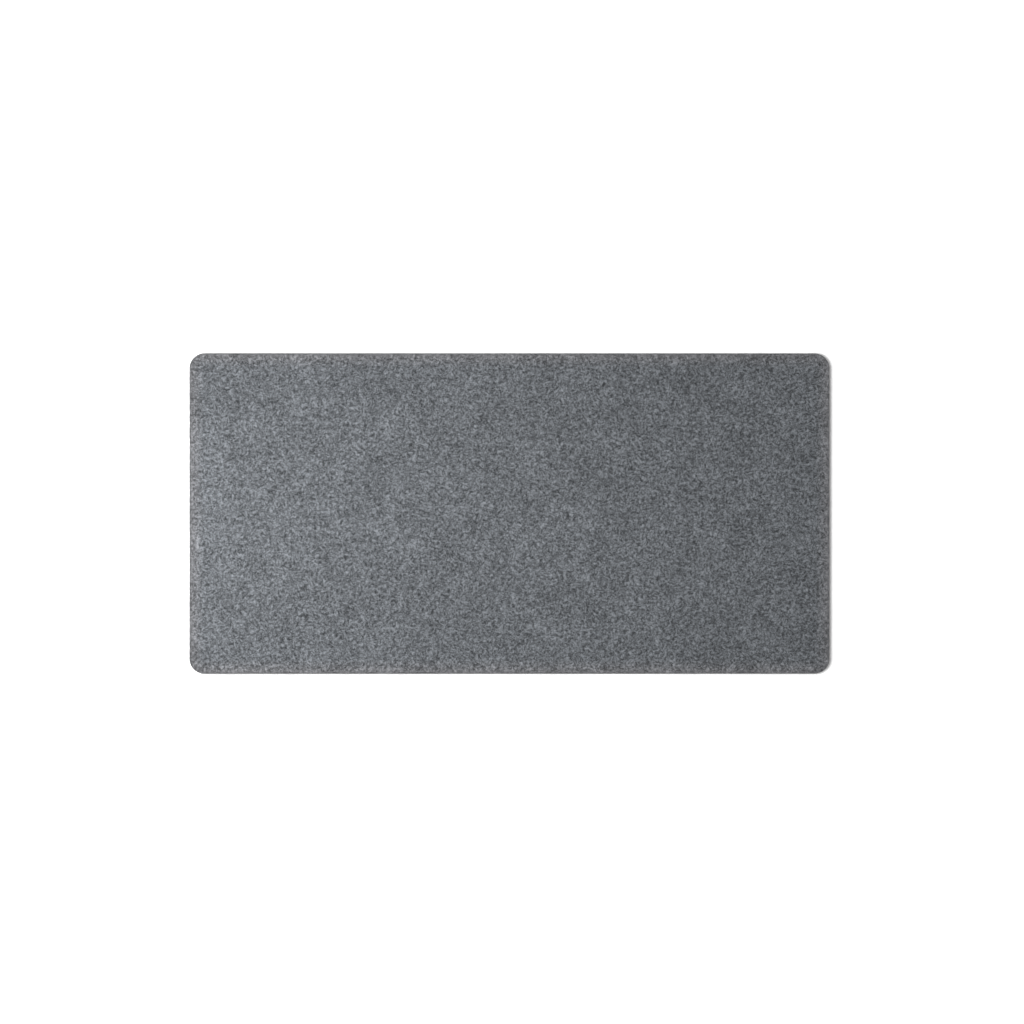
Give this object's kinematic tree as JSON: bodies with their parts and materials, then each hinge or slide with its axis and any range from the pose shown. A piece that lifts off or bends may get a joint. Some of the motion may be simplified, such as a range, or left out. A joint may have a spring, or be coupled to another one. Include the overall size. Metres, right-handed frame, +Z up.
{
  "type": "desk mat",
  "caption": "Flat rectangular desk mat with rounded corners: a thick melange felt face bonded to a thin non-slip rubber base.",
  "frame": {"origin": "centre of the mat's underside, on the surface that the mat lies on", "axes": "+X along the mat's length, +Y from the user's edge to the far edge, +Z up out of the felt"},
  "size_m": [0.6, 0.3, 0.004],
  "materials": {
    "felt": "matte",
    "adhesive": "matte",
    "rubber": "matte"
  },
  "bodies": {
    "root": {"felt_face": "felt", "adhesive_film": "adhesive", "rubber_base": "rubber"}
  },
  "joints": []
}
